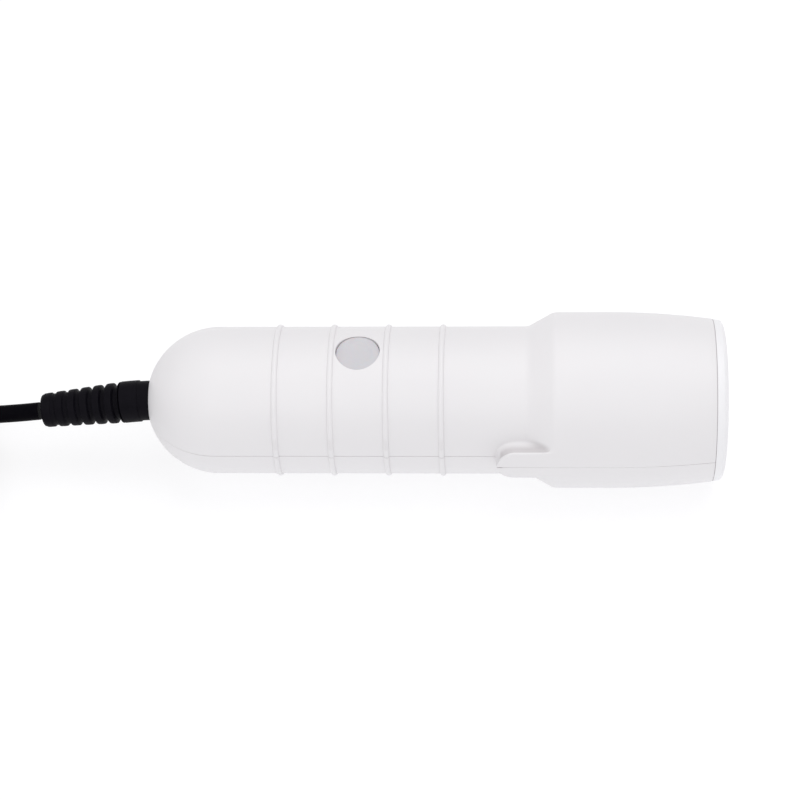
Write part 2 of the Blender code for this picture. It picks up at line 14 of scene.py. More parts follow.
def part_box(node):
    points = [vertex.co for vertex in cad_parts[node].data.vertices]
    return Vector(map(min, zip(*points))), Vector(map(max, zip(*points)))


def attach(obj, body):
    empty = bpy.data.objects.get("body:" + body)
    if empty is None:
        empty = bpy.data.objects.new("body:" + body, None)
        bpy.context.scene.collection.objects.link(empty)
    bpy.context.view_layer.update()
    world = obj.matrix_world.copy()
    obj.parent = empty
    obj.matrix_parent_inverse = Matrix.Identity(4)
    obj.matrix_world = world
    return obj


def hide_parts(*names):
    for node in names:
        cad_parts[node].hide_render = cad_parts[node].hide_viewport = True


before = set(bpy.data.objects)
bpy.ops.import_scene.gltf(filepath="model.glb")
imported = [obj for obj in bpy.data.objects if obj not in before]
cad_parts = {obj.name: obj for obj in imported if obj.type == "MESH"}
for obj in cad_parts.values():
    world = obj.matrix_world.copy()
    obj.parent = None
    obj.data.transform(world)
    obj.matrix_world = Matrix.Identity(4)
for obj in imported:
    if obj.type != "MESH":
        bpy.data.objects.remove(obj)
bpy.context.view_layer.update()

# ---- camera ------------------------------------------------------------------------------------
# A long lens, looking down on the button side from halfway up, with the body's axis level across
# the picture.  Stations along that axis are counted from the pole of the round tail.
MM = 0.001
BODY_LENGTH = 161.5 * MM
LENS = 113.36
camera_place = Vector((0.0274, -0.4606, 0.5542))

cap_low, cap_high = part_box("antenna_cap")
AXIS_Z = (cap_low.z + cap_high.z) / 2
POLE_X = cap_high.x - BODY_LENGTH


def on_axis(station, y=0.0, height=0.0):
    return Vector((POLE_X + station, y, AXIS_Z + height))


camera_aim = Vector((-0.0096, 0.0, AXIS_Z))
sight = (camera_aim - camera_place).normalized()
level = (Vector((1, 0, 0)) - sight * sight.x).normalized()
upright = level.cross(sight)
camera = bpy.data.objects.new("camera", bpy.data.cameras.new("camera"))
bpy.context.scene.collection.objects.link(camera)
camera.matrix_world = Matrix.Translation(camera_place) @ Matrix(
    (level, upright, -sight)).transposed().to_4x4()
camera.data.lens = LENS
camera.data.sensor_width = 36.0
camera.data.clip_start = 0.01
bpy.context.scene.camera = camera

# ---- studio ------------------------------------------------------------------------------------
# A white paper sweep in a bright room, with one wide soft box overhead and weaker ones in front
# and at the tail end.
# The paper glows a little, as a sweep that is lit from behind does.
bpy.context.scene.view_settings.view_transform = "Standard"

world = bpy.data.worlds.new("bright_room")
bpy.context.scene.world = world
world.use_nodes = True
world.node_tree.nodes["Background"].inputs["Color"].default_value = (1.0, 0.99, 1.0, 1.0)
world.node_tree.nodes["Background"].inputs["Strength"].default_value = 0.64


def soft_box(name, place, size, power):
    box = bpy.data.lights.new(name, "AREA")
    box.size = size
    box.energy = power
    lamp = bpy.data.objects.new(name, box)
    lamp.location = place
    lamp.rotation_euler = (-Vector(place)).to_track_quat("-Z", "Y").to_euler()
    bpy.context.scene.collection.objects.link(lamp)


soft_box("overhead_box", (0.20, 0.15, 1.1), 1.0, 4.7)
soft_box("front_box", (-0.1, -0.9, 1.0), 0.9, 2.6)
soft_box("tail_box", (-1.0, -0.2, 0.7), 0.8, 0.9)

table_mesh = bpy.data.meshes.new("table")
table_shape = bmesh.new()
bmesh.ops.create_circle(table_shape, cap_ends=True, segments=96, radius=4.0)
bmesh.ops.translate(table_shape, verts=table_shape.verts, vec=(0, 0, -0.0001))
table_shape.to_mesh(table_mesh)
table_shape.free()
table = bpy.data.objects.new("table", table_mesh)
bpy.context.scene.collection.objects.link(table)
paper = bpy.data.materials.new("white_paper")
paper.use_nodes = True
paper_shader = paper.node_tree.nodes["Principled BSDF"]
for socket, value in {"Base Color": (0.36, 0.36, 0.37, 1.0), "Roughness": 0.9,
                      "Specular IOR Level": 0.1, "Emission Color": (1.0, 1.0, 1.0, 1.0),
                      "Emission Strength": 0.68}.items():
    paper_shader.inputs[socket].default_value = value
table_mesh.materials.append(paper)

# ---- lead --------------------------------------------------------------------------------------
# A 5 mm USB lead in smooth black PVC.  It leaves the strain relief and runs down onto its coil,
# four turns across and two deep, where it is tied for storage with the plug on top.
CORD_DIAMETER = 5 * MM
RELIEF_END = 28.9 * MM
RELIEF_SLOPE = 0.155
RELIEF_BEND = 6 * MM
COIL_CENTRE = Vector((-165.5 * MM, -12.6 * MM))
COIL_PITCH = 5.05 * MM
COIL_OUTER_TURN = 34.65 * MM
COIL_LOWER_Z = 2.55 * MM
COIL_UPPER_Z = 7.7 * MM
FIRST_STEP = 377
STEP_SPACING = 315
STEP_LASTS = 70
RISE_START = 2465
RISE_END = 2570
PLUG_Z = 14.5 * MM
TIE_ANGLE = -50.0
TIE_THICKNESS = 0.6 * MM
TIE_PLAY = 0.05 * MM
TIE_SPREAD = 22.0
# Known fault: the route starts 1.5 mm past the relief's tip, so a gap shows there.
lead_route = [(-111.6, 0.0, 19.7), (-116.5, 0.0, 19.0), (-122.7, 0.1, 18.2), (-126.9, 0.7, 17.4),
              (-131.1, 2.8, 16.0), (-135.3, 6.0, 14.7), (-139.4, 9.7, 13.3), (-143.6, 13.4, 11.7),
              (-147.8, 16.7, 10.2), (-152.0, 19.1, 9.1), (-156.1, 20.8, 8.4), (-160.8, 21.8, 7.9)]
tail_route = [(-158.8, 5.8, 14.5), (-162.5, 6.8, 14.5), (-165.5, 7.6, 14.5)]


def eased(value, start, end):
    """0 before the start, 1 after the end, and a smooth step between them."""
    t = min(1.0, max(0.0, (value - start) / (end - start)))
    return t * t * (3 - 2 * t)


def relief_drop(beyond):
    """The relief leaves level and sags in the cable hole, then runs straight at its slope."""
    if beyond < RELIEF_BEND:
        return RELIEF_SLOPE * (max(beyond, -RELIEF_BEND) + RELIEF_BEND) ** 2 / (4 * RELIEF_BEND)
    return RELIEF_SLOPE * beyond


def coil_point(turned):
    """Place on the coil at so many degrees from where the lead comes onto its outer, upper turn.

    Turns fill the coil column by column: down, in, up, in and so on, with each step 45 degrees
    earlier in its turn than the last.  The lead lifts a little where it crosses the tie, and from
    the innermost turn it rises to the plug.
    """
    starts = [FIRST_STEP + STEP_SPACING * i for i in range(7)]
    steps = [eased(turned, start, start + STEP_LASTS) for start in starts]
    radius = COIL_OUTER_TURN - COIL_PITCH * sum(steps[1::2])
    layer = 1 - steps[0] + steps[2] - steps[4] + steps[6]
    height = COIL_LOWER_Z + (COIL_UPPER_Z - COIL_LOWER_Z) * layer
    rise = eased(turned, RISE_START, RISE_END)
    from_tie = (turned - TIE_ANGLE + 180) % 360 - 180
    over_tie = math.exp(-(from_tie / TIE_SPREAD) ** 2) * (1 - rise)
    height += (TIE_THICKNESS + TIE_PLAY) * over_tie
    height += (PLUG_Z - COIL_UPPER_Z) * rise
    angle = math.radians(turned)
    return Vector((COIL_CENTRE.x + radius * math.cos(angle),
                   COIL_CENTRE.y + radius * math.sin(angle), height))


def smooth_route(points, pieces):
    """A smooth curve through the route's own points, with so many pieces between two of them."""
    padded = [2 * points[0] - points[1], *points, 2 * points[-1] - points[-2]]
    route = []
    for before, start, end, after in zip(padded, padded[1:], padded[2:], padded[3:]):
        for i in range(pieces):
            t = i / pieces
            route.append(0.5 * (2 * start + (end - before) * t
                                + (2 * before - 5 * start + 4 * end - after) * t ** 2
                                + (3 * start - before - 3 * end + after) * t ** 3))
    return route + [points[-1]]


coil_route = [coil_point(turned) for turned in range(90, 2581, 15)]
cord_line = smooth_route([Vector(point) * MM for point in lead_route] + coil_route
                         + [Vector(point) * MM for point in tail_route], 3)
cord_length = sum((after - before).length for before, after in zip(cord_line, cord_line[1:]))

lead_curve = bpy.data.curves.new("lead", "CURVE")
lead_curve.dimensions = "3D"
lead_curve.bevel_depth = CORD_DIAMETER / 2
lead_curve.bevel_resolution = 7
lead_curve.use_fill_caps = True
lead_spline = lead_curve.splines.new("POLY")
lead_spline.points.add(len(cord_line) - 1)
for point, place in zip(lead_spline.points, cord_line):
    point.co = (*place, 1.0)
lead_spline.use_smooth = True
lead = bpy.data.objects.new("lead", lead_curve)
bpy.context.scene.collection.objects.link(lead)


class Value:
    """A socket whose sums, products and quotients add Math nodes to its own tree."""

    def __init__(self, nodes, socket):
        self.nodes = nodes
        self.socket = socket

    def maths(self, operation, first, second):
        return self.nodes.add("ShaderNodeMath", {"operation": operation}, {0: first, 1: second})

    def __add__(self, other):
        return self.maths("ADD", self, other)

    def __sub__(self, other):
        return self.maths("SUBTRACT", self, other)

    def __rsub__(self, other):
        return self.maths("SUBTRACT", other, self)

    def __mul__(self, other):
        return self.maths("MULTIPLY", self, other)

    def __truediv__(self, other):
        return self.maths("DIVIDE", self, other)

    __radd__ = __add__
    __rmul__ = __mul__


class Nodes:
    """A node tree in which every node but its ends comes from add()."""

    def __init__(self, tree):
        self.tree = tree

    def add(self, kind, settings, values, output=0):
        made = self.tree.nodes.new(kind)
        for name, value in settings.items():
            setattr(made, name, value)
        for key, value in values.items():
            self.connect(made.inputs[key], value)
        return Value(self, made.outputs[output])

    def connect(self, socket, value):
        if isinstance(value, Value):
            self.tree.links.new(value.socket, socket)
        else:
            socket.default_value = value

    def ramped(self, value, start, end):
        """Smoothly from 0 to 1 as the value goes from its start to its end."""
        return self.add("ShaderNodeMapRange", {"interpolation_type": "SMOOTHSTEP"},
                        {"Value": value, "From Min": start, "From Max": end})


class Paint(Nodes):
    """One material on a Principled shader, with its patterns on the piece's own coordinates."""

    def __init__(self, name, colour, roughness, **settings):
        self.material = bpy.data.materials.new(name)
        self.material.use_nodes = True
        super().__init__(self.material.node_tree)
        self.shader = self.tree.nodes["Principled BSDF"]
        self.feed("Base Color", (*colour, 1.0))
        self.feed("Roughness", roughness)
        for socket, value in settings.items():
            self.feed(socket.replace("_", " "), value)
        self.places = self.add("ShaderNodeTexCoord", {}, {}, "Object")

    def feed(self, name, value):
        self.connect(self.shader.inputs[name], value)

    def noise(self, scale, detail=2.0, stretch=(1, 1, 1)):
        """Noise of so many cells a metre, which can be drawn out along an axis."""
        placed = self.add("ShaderNodeMapping", {}, {"Vector": self.places, "Scale": stretch})
        return self.add("ShaderNodeTexNoise", {},
                        {"Vector": placed, "Scale": scale, "Detail": detail}, "Fac")

    def tint(self, amount, low, high):
        """A colour between two others, of which the second may be a tint itself."""
        high = high if isinstance(high, Value) else (*high, 1.0)
        return self.add("ShaderNodeMix", {"data_type": "RGBA"},
                        {"Factor": amount, 6: (*low, 1.0), 7: high}, 2)

    def openness(self, reach):
        """1 on open faces and less in corners, as far as the reach from another face."""
        return self.add("ShaderNodeAmbientOcclusion", {"samples": 8}, {"Distance": reach}, "AO")

    def emboss(self, height, depth):
        """Raise the surface by a height from 0 to 1 that stands for a depth in metres."""
        self.feed("Normal", self.add("ShaderNodeBump", {},
                                     {"Height": height, "Distance": depth, "Strength": 1.0}))


def pvc_jacket():
    """Extruded PVC: nearly smooth, with a faint grain and a few dull scuffs."""
    paint = Paint("black_pvc", (0.002, 0.0017, 0.003), 0.42, Specular_IOR_Level=0.02)
    scuffs = paint.noise(420.0, 3.0)
    paint.feed("Roughness", 0.36 + 0.16 * scuffs)
    paint.feed("Base Color", paint.tint(scuffs, (0.0012, 0.0010, 0.0022), (0.004, 0.0035, 0.005)))
    paint.emboss(paint.noise(2600.0, 2.0), 0.02 * MM)
    return paint.material


black_pvc = pvc_jacket()
lead_curve.materials.append(black_pvc)
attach(lead, "housing")
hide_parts("cord", "cord_coil", "cord_tail")

# ---- shells ------------------------------------------------------------------------------------
# Two injection moulded halves in satin white ABS, screwed together from below.  The grip has four
# ribs and, on each side, a bar that grows out of it through a cove and ends flush with the head;
# the far bar is the narrower one.
GRIP_RADIUS = 20.5 * MM
HEAD_RADIUS = 24.4 * MM
TAIL_POLE = 0.8 * MM
WALL = 2.0 * MM
CABLE_HOLE_RADIUS = 6.2 * MM
FLARE_START = 107.4 * MM
FLARE_END = 114.3 * MM
BARREL_START = 130 * MM
BARREL_ARC = 215 * MM
SHELL_FRONT = 158.2 * MM
RIB_STATIONS = [(38.3 + 15.15 * i) * MM for i in range(4)]
RIB_HALF_WIDTH = 0.78 * MM
RIB_HEIGHT = 0.6 * MM
BAR_HALF_WIDTH = 5.25 * MM
FAR_BAR_HALF_WIDTH = 3.6 * MM
BAR_ROUND_CENTRE = 103.95 * MM
BAR_EDGE = 0.45 * MM
COVE_SIDE = 1.6 * MM
COVE_END = 0.3 * MM
seam_stations = [0, 8, 20, 97, 99, 104, 113, 116, 140, 148, 158]
seam_half_gaps = [0.02, 0.03, 0.05, 0.05, 0.03, 0.03, 0.02, 0.015, 0.015, 0.04, 0.05]


def seam_half_gap(station):
    """The seam is open along the grip, nearly closed on the bars and opens again at the cap."""
    places = [stop * MM for stop in seam_stations]
    for start, end, low, high in zip(places, places[1:], seam_half_gaps, seam_half_gaps[1:]):
        if station <= end:
            return (low + (high - low) * max(0.0, station - start) / (end - start)) * MM
    return seam_half_gaps[-1] * MM


def plain_radius(station):
    """The body's outside without its ribs and bars, past the round tail."""
    blend = 1.0 * MM
    slope = (HEAD_RADIUS - GRIP_RADIUS) / (FLARE_END - FLARE_START)
    if station > BARREL_START:
        drawn_in = BARREL_ARC - math.sqrt(BARREL_ARC ** 2 - (station - BARREL_START) ** 2)
        return HEAD_RADIUS - drawn_in
    for corner, radius, before, after in ((FLARE_START, GRIP_RADIUS, 0.0, slope),
                                          (FLARE_END, HEAD_RADIUS, slope, 0.0)):
        across = station - corner
        if abs(across) < blend:
            bend = (after - before) * (across + blend) ** 2 / (4 * blend)
            return radius + before * across + bend
    if station <= FLARE_START:
        return GRIP_RADIUS
    return min(HEAD_RADIUS, GRIP_RADIUS + slope * (station - FLARE_START))


def bar_cover(station, across, half_width):
    """How far a side bar fills the step up to the head, 1 on its face and 0 past its cove."""
    if station > FLARE_END + 1 * MM:
        return 0.0
    beyond = min(0.0, station - BAR_ROUND_CENTRE)
    reach = math.hypot(beyond, across)
    outside = reach - half_width
    step = HEAD_RADIUS - GRIP_RADIUS
    if outside <= -BAR_EDGE:
        return 1.0
    if outside <= 0:
        t = 1 + outside / BAR_EDGE
        return 1 - BAR_EDGE / step * (1 - math.sqrt(1 - t * t))
    endways = (beyond / reach) ** 2
    cove = COVE_SIDE + (COVE_END - COVE_SIDE) * endways
    t = max(0.0, 1 - outside / cove)
    return (1 - BAR_EDGE / step) * (1 - math.sqrt(1 - t * t))


def tail_arc(radius, start, end, pieces):
    """Points (station, radius) on the round tail, by angles from its pole."""
    turns = [start + (end - start) * i / pieces for i in range(pieces + 1)]
    return [(TAIL_POLE + GRIP_RADIUS - radius * math.cos(turn), radius * math.sin(turn))
            for turn in turns]


def evenly(start, end, step):
    pieces = max(1, round((end - start) / step))
    return [start + (end - start) * i / pieces for i in range(pieces)]


def shell_rows():
    """Rows (outer station, outer radius, inner station, inner radius) from the tail to the cap."""
    inner_radius = GRIP_RADIUS - WALL
    lip = 0.3 * MM
    hole = math.asin(CABLE_HOLE_RADIUS / GRIP_RADIUS)
    inner_hole = math.asin(CABLE_HOLE_RADIUS / inner_radius)
    outer = [(TAIL_POLE + GRIP_RADIUS * (1 - math.cos(hole)) + lip, CABLE_HOLE_RADIUS)]
    outer += [(station + lip * 0.3, radius)
              for station, radius in tail_arc(GRIP_RADIUS, hole + 0.001, hole + 0.002, 1)]
    outer += tail_arc(GRIP_RADIUS, hole + 0.014, math.pi / 2, 40)
    inner = tail_arc(inner_radius, inner_hole, math.pi / 2, len(outer) - 1)
    stations = [27 * MM, 33 * MM]
    for rib in RIB_STATIONS:
        stations += [rib - RIB_HALF_WIDTH * math.cos(math.pi * i / 14) for i in range(15)]
        stations += [rib + 4 * MM, rib + 8 * MM, rib + 12 * MM]
    stations += evenly(97.2 * MM, 99.2 * MM, 0.13 * MM) + evenly(99.2 * MM, 104 * MM, 0.2 * MM)
    stations += evenly(104 * MM, 116 * MM, 0.4 * MM) + evenly(116 * MM, 130 * MM, 3.5 * MM)
    stations += evenly(130 * MM, 157.9 * MM, 1.7 * MM) + [157.9 * MM]
    for station in sorted(stations):
        bump = 0.0
        for rib in RIB_STATIONS:
            across = (station - rib) / RIB_HALF_WIDTH
            bump = max(bump, RIB_HEIGHT * math.sqrt(max(0.0, 1 - across * across)))
        outer.append((station, plain_radius(station) + bump))
        inner.append((station, plain_radius(station) - WALL))
    edge = plain_radius(SHELL_FRONT)
    for back, drawn in ((0.18, 0.02), (0.07, 0.08), (0.0, 0.2)):
        outer.append((SHELL_FRONT - back * MM, edge - drawn * MM))
        inner.append((SHELL_FRONT - back * MM, edge - WALL))
    return [(*out, *within) for out, within in zip(outer, inner)]


# Angles up from the seam, close together across the bar's face, its edge and its cove.
bar_angles = evenly(0, 6.8, 0.5) + evenly(6.8, 8.8, 0.2) + evenly(8.8, 11, 0.4)
bar_angles += evenly(11, 13.4, 0.16) + evenly(13.4, 23.4, 0.45)
quarter_angles = [math.radians(angle) for angle in bar_angles + evenly(23.4, 90, 2.66)]


def outside_at(station, radius, angle):
    if station < 96 * MM:
        return radius
    half_width = FAR_BAR_HALF_WIDTH if angle < math.pi / 2 else BAR_HALF_WIDTH
    cover = bar_cover(station, HEAD_RADIUS * math.sin(min(angle, math.pi - angle)), half_width)
    return radius + max(0.0, HEAD_RADIUS - radius) * cover


def half_shell(name, upwards):
    """One half: each row is an outer arc with rounded seam edges, and an inner arc back."""
    corner_steps = 3
    verts, faces = [], []
    rows = shell_rows()
    for station, radius, inner_station, inner_radius in rows:
        gap = seam_half_gap(station)
        edge = 0.5 * gap + 0.07 * MM
        rim = outside_at(station, radius, 0.0)
        lift = gap + edge
        lean = math.asin(lift / (rim - edge))
        middle = (rim - edge) * math.cos(lean)
        corner = []
        for i in range(corner_steps):
            turn = -math.pi / 2 + (lean + math.pi / 2) * i / corner_steps
            corner.append((middle + edge * math.cos(turn), lift + edge * math.sin(turn)))
        turns = [lean + angle * (1 - lean / (math.pi / 2)) for angle in quarter_angles]
        turns += [math.pi / 2] + [math.pi - turn for turn in reversed(turns)]
        arc = [(outside_at(station, radius, turn) * math.cos(turn),
                outside_at(station, radius, turn) * math.sin(turn)) for turn in turns]
        outer = corner + arc + [(-across, up) for across, up in reversed(corner)]
        inner_lean = math.asin(gap / inner_radius)
        for across, up in outer:
            verts.append(on_axis(station, across, up * upwards))
        for i in range(len(outer)):
            turn = inner_lean + (math.pi - 2 * inner_lean) * i / (len(outer) - 1)
            verts.append(on_axis(inner_station, inner_radius * math.cos(turn),
                                 inner_radius * math.sin(turn) * upwards))
    count = len(outer)
    ring = list(range(count)) + [2 * count - 1 - i for i in range(count)]
    for row in range(len(rows) - 1):
        here, there = row * 2 * count, (row + 1) * 2 * count
        for a, b in zip(ring, ring[1:] + ring[:1]):
            faces.append((here + a, here + b, there + b, there + a))
    last = (len(rows) - 1) * 2 * count
    for i in range(count - 1):
        faces.append((i + 1, i, count + i, count + i + 1))
        faces.append((last + i, last + i + 1, last + count + i + 1, last + count + i))
    mesh = bpy.data.meshes.new(name)
    mesh.from_pydata(verts, [], faces)
    if upwards < 0:
        mesh.flip_normals()
    return mesh


def check_volume(mesh):
    """Turn a closed mesh right side out."""
    shape = bmesh.new()
    shape.from_mesh(mesh)
    volume = shape.calc_volume(signed=True)
    shape.free()
    if volume < 0:
        mesh.flip_normals()


def put(name, mesh, material, body, slot, *nodes, sharp=40):
    """Show a finished mesh, smooth but for its edges, in place of its plain solids."""
    mesh.shade_smooth()
    mesh.set_sharp_from_angle(angle=math.radians(sharp))
    mesh.materials.clear()
    mesh.materials.append(material)
    piece = bpy.data.objects.new(name, mesh)
    bpy.context.scene.collection.objects.link(piece)
    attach(piece, body)
    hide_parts(*nodes)
    return piece


def rods(shafts):
    """One mesh of upright rods, each given by its station, side, radius and two heights."""
    shape = bmesh.new()
    for station, side, radius, low, high in shafts:
        made = bmesh.ops.create_cone(shape, cap_ends=True, segments=64, radius1=radius,
                                     radius2=radius, depth=high - low)
        bmesh.ops.translate(shape, verts=made["verts"],
                            vec=on_axis(station, side, (low + high) / 2))
    mesh = bpy.data.meshes.new("rods")
    shape.to_mesh(mesh)
    shape.free()
    return mesh


def combined(mesh, *steps):
    """Join other meshes to this one or cut them away, and return the plain result."""
    body = bpy.data.objects.new("body", mesh)
    bpy.context.scene.collection.objects.link(body)
    others = []
    for operation, other_mesh in steps:
        other = bpy.data.objects.new("other", other_mesh)
        bpy.context.scene.collection.objects.link(other)
        others.append(other)
        step = body.modifiers.new(operation, "BOOLEAN")
        step.operation = operation
        step.solver = "EXACT"
        step.object = other
    result = bpy.data.meshes.new_from_object(
        body.evaluated_get(bpy.context.evaluated_depsgraph_get()))
    for made in [body, *others]:
        bpy.data.objects.remove(made)
    return result


# Painted shade: the grey that corners are tinted towards, the more so the more nearby faces close
# them in.
CORNER_SHADE_GREY = (0.62, 0.59, 0.60)


# Painted shade: the grey painted over the cove wall above the near bar.
COVE_SHADE_GREY = (0.60, 0.58, 0.59)


def cove_shade(paint):
    """1 on the wall of the cove over the near bar, which gets painted shade, and 0 elsewhere."""
    along, across, up = (paint.add("ShaderNodeSeparateXYZ", {}, {0: paint.places}, axis)
                         for axis in "XYZ")
    station, height = along - POLE_X, up - AXIS_Z
    radius = paint.add("ShaderNodeMath", {"operation": "SQRT"},
                       {0: across * across + height * height})
    on_wall = paint.ramped(radius, GRIP_RADIUS - 0.1 * MM, 22.8 * MM)
    on_wall = on_wall * (1 - paint.ramped(radius, 23.85 * MM, 23.98 * MM))
    over_bar = paint.ramped(height, 2.5 * MM, 3.5 * MM)
    over_bar = over_bar * (1 - paint.ramped(height, 5.4 * MM, 7.4 * MM))
    near_side = 1 - paint.ramped(across, -12 * MM, -10 * MM)
    return on_wall * over_bar * near_side * (1 - paint.ramped(station, 111.5 * MM, 114.5 * MM))


def moulded_abs(name, dark, light):
    """Satin ABS off a spark-eroded mould: a fine grain, and slow changes in tone and gloss."""
    paint = Paint(name, light, 0.42, Specular_IOR_Level=0.45)
    drift = paint.noise(28.0, 3.0)
    # Painted shade: corners are tinted grey by how far nearby faces close them in.
    corners = paint.ramped(paint.openness(2.5 * MM), 0.05, 0.92)
    tone = paint.tint(corners, CORNER_SHADE_GREY, paint.tint(drift, dark, light))
    # Painted shade over the cove wall above the near bar.
    paint.feed("Base Color", paint.tint(1 - cove_shade(paint), COVE_SHADE_GREY, tone))
    paint.feed("Roughness", 0.36 + 0.14 * paint.noise(160.0, 4.0))
    grain = 0.7 * paint.noise(3800.0, 2.0) + 0.3 * paint.noise(900.0, 2.0)
    paint.emboss(grain, 0.006 * MM)
    return paint.material


white_abs = moulded_abs("white_abs", (0.785, 0.775, 0.79), (0.815, 0.805, 0.815))
BUTTON_STATION = 60.8 * MM
BUTTON_HOLE_RADIUS = 6.1 * MM
case_screw_stations = [46 * MM, 95 * MM, 130 * MM]
SCREW_SEAT = -12 * MM
BOSS_RADIUS = 4.2 * MM
COUNTERBORE_RADIUS = 2.7 * MM
SCREW_HOLE_RADIUS = 1.55 * MM

button_hole = rods([(BUTTON_STATION, 0, BUTTON_HOLE_RADIUS, 12 * MM, 26 * MM)])
top_mesh = combined(half_shell("top_shell_fine", 1), ("DIFFERENCE", button_hole))
put("top_shell_fine", top_mesh, white_abs, "housing", "white_shell", "top_shell")

posts = [(station, 0, BOSS_RADIUS, -plain_radius(station) + 1 * MM, -1 * MM)
         for station in case_screw_stations]
bores = [(station, 0, COUNTERBORE_RADIUS, -30 * MM, SCREW_SEAT) for station in case_screw_stations]
bores += [(station, 0, SCREW_HOLE_RADIUS, SCREW_SEAT - 1 * MM, 2 * MM)
          for station in case_screw_stations]
bottom_mesh = combined(half_shell("bottom_shell_fine", -1), ("UNION", rods(posts)),
                       ("DIFFERENCE", rods(bores)))
put("bottom_shell_fine", bottom_mesh, white_abs, "housing", "white_shell", "bottom_shell")

# ---- antenna cap -------------------------------------------------------------------------------
# The whiter ABS cup that closes the antenna head.  Its front is flat with a soft rim, and its
# spigot plugs into the two shells over a rubber seal.
CAP_BACK = 158.24 * MM
CAP_SEAM = 158.35 * MM
CAP_RIM = 0.06 * MM


def lathe(outline, place, segments=128):
    """Turn an outline of (along, radius) points about a line; place() puts a point on the piece.

    The outline runs from one end of the axis to the other, or closes on itself off the axis.
    """
    shape = bmesh.new()
    closed = outline[0][1] > 0
    rings = []
    for along, radius in outline:
        if radius == 0:
            rings.append([shape.verts.new(place(along, 0, 0))] * segments)
            continue
        turns = [2 * math.pi * i / segments for i in range(segments)]
        rings.append([shape.verts.new(place(along, radius * math.cos(turn),
                                            radius * math.sin(turn))) for turn in turns])
    pairs = list(zip(rings, rings[1:])) + ([(rings[-1], rings[0])] if closed else [])
    for near, far in pairs:
        for i in range(segments):
            j = (i + 1) % segments
            corners = []
            for vert in (near[i], near[j], far[j], far[i]):
                if vert not in corners:
                    corners.append(vert)
            if len(corners) > 2:
                shape.faces.new(corners)
    bmesh.ops.recalc_face_normals(shape, faces=shape.faces)
    mesh = bpy.data.meshes.new("turned")
    shape.to_mesh(mesh)
    shape.free()
    check_volume(mesh)
    return mesh


def quarter(centre, radii, start, end, pieces):
    """Points on an elliptical arc; the angle is 0 along the axis and 90 outwards."""
    turns = [math.radians(start + (end - start) * i / pieces) for i in range(pieces + 1)]
    return [(centre[0] + radii[0] * math.cos(turn), centre[1] + radii[1] * math.sin(turn))
            for turn in turns]


def cap_outline():
    rim = plain_radius(CAP_SEAM) - CAP_RIM
    outline = [(BODY_LENGTH, 0.0), (BODY_LENGTH, 12 * MM)]
    outline += quarter((159.9 * MM, 17.6 * MM), (1.6 * MM, rim - 0.28 * MM - 17.6 * MM), 3, 88, 18)
    outline += [(159.2 * MM, rim - 0.14 * MM), (CAP_BACK + 0.2 * MM, rim)]
    outline += [(CAP_BACK + 0.06 * MM, rim - 0.06 * MM), (CAP_BACK, rim - 0.2 * MM)]
    outline += [(CAP_BACK, 19 * MM), (151.5 * MM, 19 * MM), (151.5 * MM, 17 * MM),
                (159.4 * MM, 17 * MM), (159.4 * MM, 0.0)]
    return outline


cap_abs = moulded_abs("cap_abs", (0.85, 0.85, 0.87), (0.885, 0.885, 0.90))
put("antenna_cap_fine", lathe(cap_outline(), on_axis), cap_abs, "housing", "cap_plastic",
    "antenna_cap")

# ---- scan button -------------------------------------------------------------------------------
# A light grey silicone key with a faint raised rim and a shallow dish.  A flange inside the shell
# holds it in, and its stem presses the switch.
BUTTON_RADIUS = 6.0 * MM
BUTTON_TOP = 19.55 * MM


def over_button(height, x, y):
    return on_axis(BUTTON_STATION + x, y, height)


def button_outline():
    outline = [(BUTTON_TOP - 0.16 * MM, 0.0), (BUTTON_TOP - 0.14 * MM, 3.3 * MM)]
    outline += [(BUTTON_TOP - 0.03 * MM, 3.75 * MM), (BUTTON_TOP, 4.0 * MM)]
    outline += quarter((BUTTON_TOP - 0.2 * MM, BUTTON_RADIUS - 0.3 * MM), (0.2 * MM, 0.3 * MM),
                       0, 90, 8)
    outline += [(19.25 * MM, BUTTON_RADIUS), (19.15 * MM, 6.07 * MM), (16.1 * MM, 6.07 * MM),
                (16.1 * MM, 6.9 * MM), (15.2 * MM, 6.9 * MM),
                (15.2 * MM, 1.6 * MM), (12.9 * MM, 1.6 * MM), (12.9 * MM, 0.0)]
    return outline


def grey_silicone():
    """Moulded silicone: it lets a little light in, and has a dull, very fine grain."""
    paint = Paint("grey_silicone", (0.60, 0.59, 0.62), 0.5, Specular_IOR_Level=0.35,
                  Subsurface_Weight=0.15, Subsurface_Scale=0.8 * MM)
    paint.feed("Base Color", paint.tint(paint.noise(260.0, 3.0), (0.595, 0.585, 0.615),
                                        (0.63, 0.62, 0.645)))
    paint.feed("Roughness", 0.46 + 0.16 * paint.noise(700.0, 3.0))
    paint.emboss(paint.noise(5000.0, 2.0), 0.008 * MM)
    return paint.material


put("scan_button_fine", lathe(button_outline(), over_button, 96), grey_silicone(), "button",
    "button_silicone", "scan_button")

# ---- strain relief -----------------------------------------------------------------------------
# Black TPE moulded round the lead: a flange inside the shells, a collar that fills the cable hole
# and six ridges that get lower towards the lead.
RELIEF_START = -6.4 * MM


